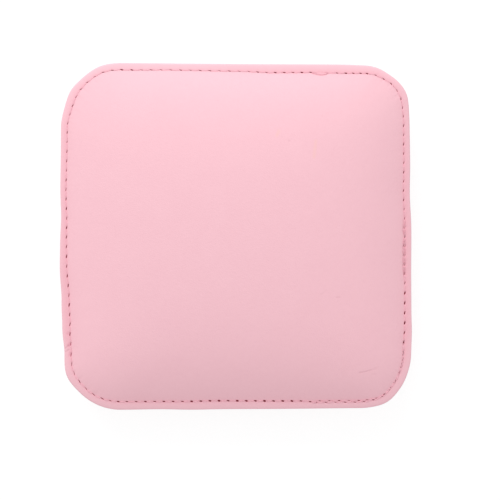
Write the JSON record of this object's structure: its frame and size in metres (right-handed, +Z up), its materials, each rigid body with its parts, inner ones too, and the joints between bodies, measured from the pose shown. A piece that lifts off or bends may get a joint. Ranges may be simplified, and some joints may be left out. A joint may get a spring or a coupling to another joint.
{
  "type": "manicure hand rest",
  "caption": "Square padded hand rest for manicures: a foam core between leatherette covers with turned, topstitched edges, domed on both faces.",
  "frame": {"origin": "middle of the footprint, on the surface that the hand rest stands on", "axes": "+Z up out of the padded top, +Y towards the back edge (the top edge in the picture), +X to the right"},
  "size_m": [0.15, 0.148, 0.0276],
  "materials": {
    "leatherette": "smooth matte pale pink synthetic leather with a very fine grain",
    "foam": "open-cell polyurethane sponge, off-white",
    "thread": "twisted pink polyester sewing thread"
  },
  "bodies": {
    "root": {"top_cover": "leatherette", "bottom_cover": "leatherette", "foam_core": "foam", "topstitch_thread": "thread", "bobbin_thread": "thread"}
  },
  "joints": []
}
